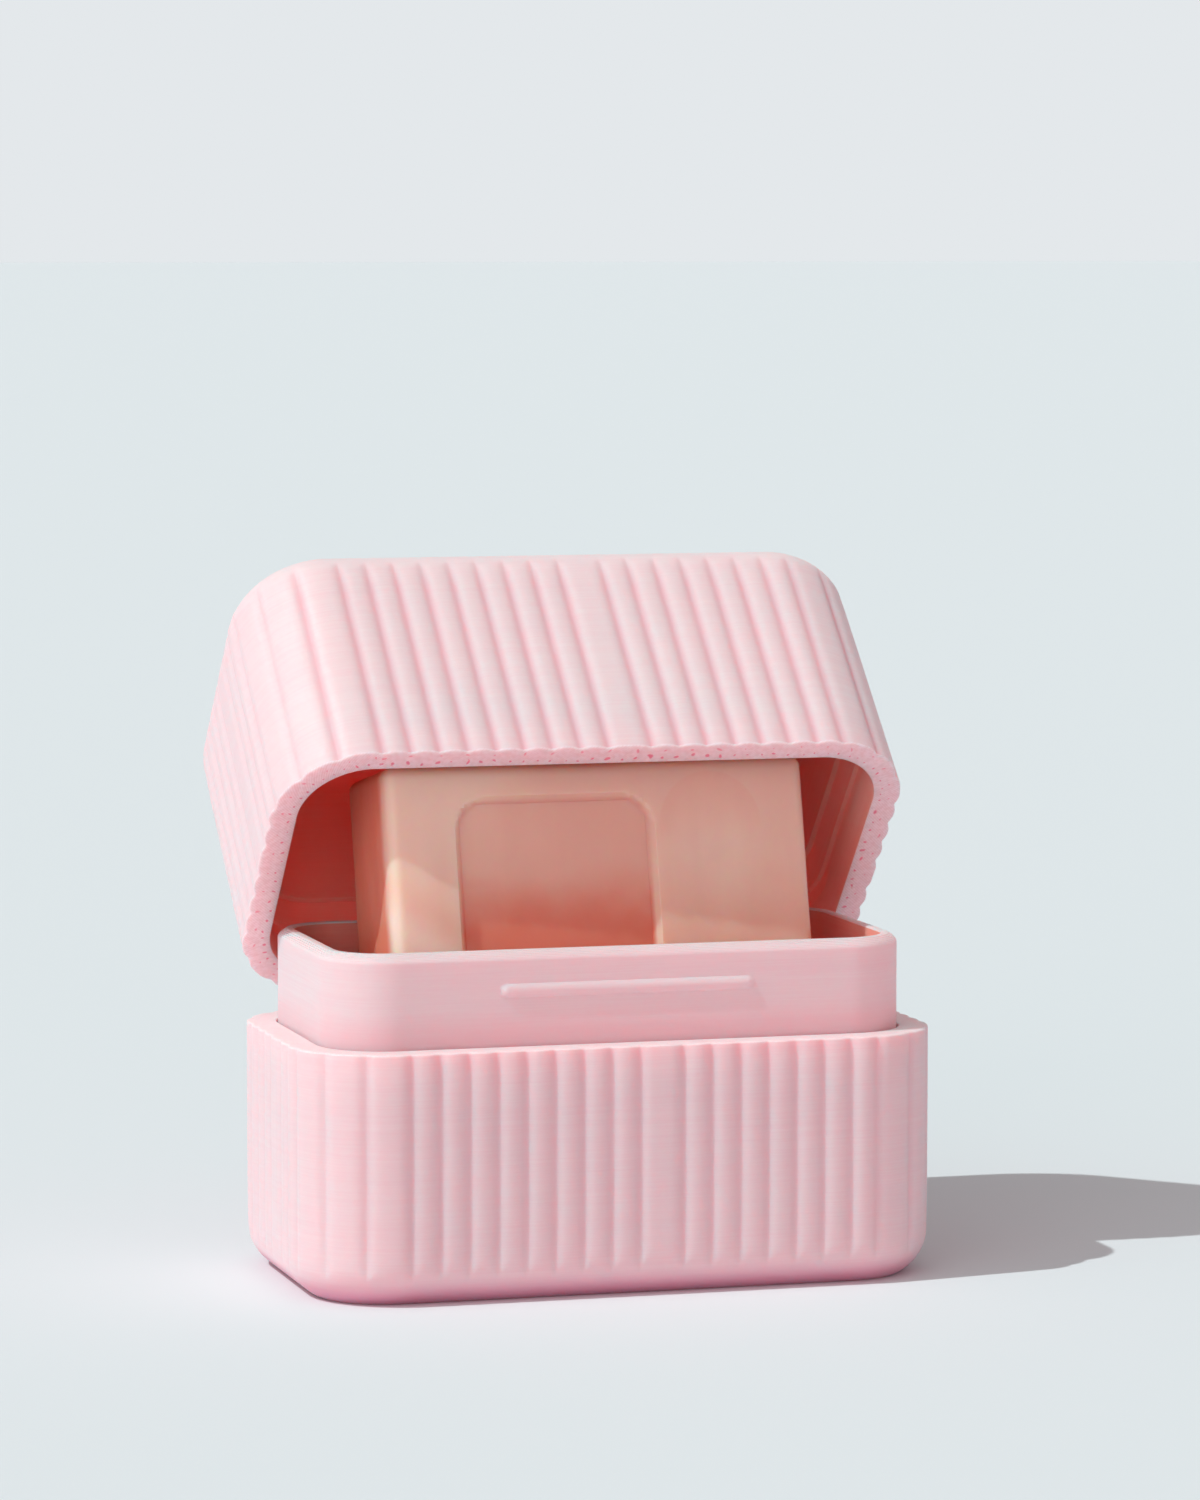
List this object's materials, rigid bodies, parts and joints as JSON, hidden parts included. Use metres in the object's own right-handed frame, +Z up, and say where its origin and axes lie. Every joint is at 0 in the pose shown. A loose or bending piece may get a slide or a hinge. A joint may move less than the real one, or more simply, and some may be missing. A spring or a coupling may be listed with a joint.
{
  "type": "shampoo bar case",
  "caption": "Rounded rectangular case for a shampoo bar: fluted base with a smooth collar, fluted lid tipped back off it, and the bar leaning inside.",
  "frame": {"origin": "middle of the base's flat underside", "axes": "+X to the right along the case's length, +Y to the rear where the lid tips, +Z up"},
  "size_m": [0.089, 0.0749, 0.0964],
  "materials": {
    "shell": "satin, fine level print lines",
    "tub": "satin, fine level print lines",
    "lid": "satin, fine level print lines",
    "soap": "waxy, slightly translucent"
  },
  "bodies": {
    "base": {"base_shell": "shell", "inner_tub": "tub", "shampoo_bar": "soap"},
    "lid": {"lid_shell": "lid"}
  },
  "joints": [
    {"name": "lid_tilt", "type": "hinge", "parent": "base", "child": "lid", "pos_m": [0, 0.02635, 0.0361], "axis": [1, 0, 0], "range_deg": [-8, 47.3]}
  ]
}
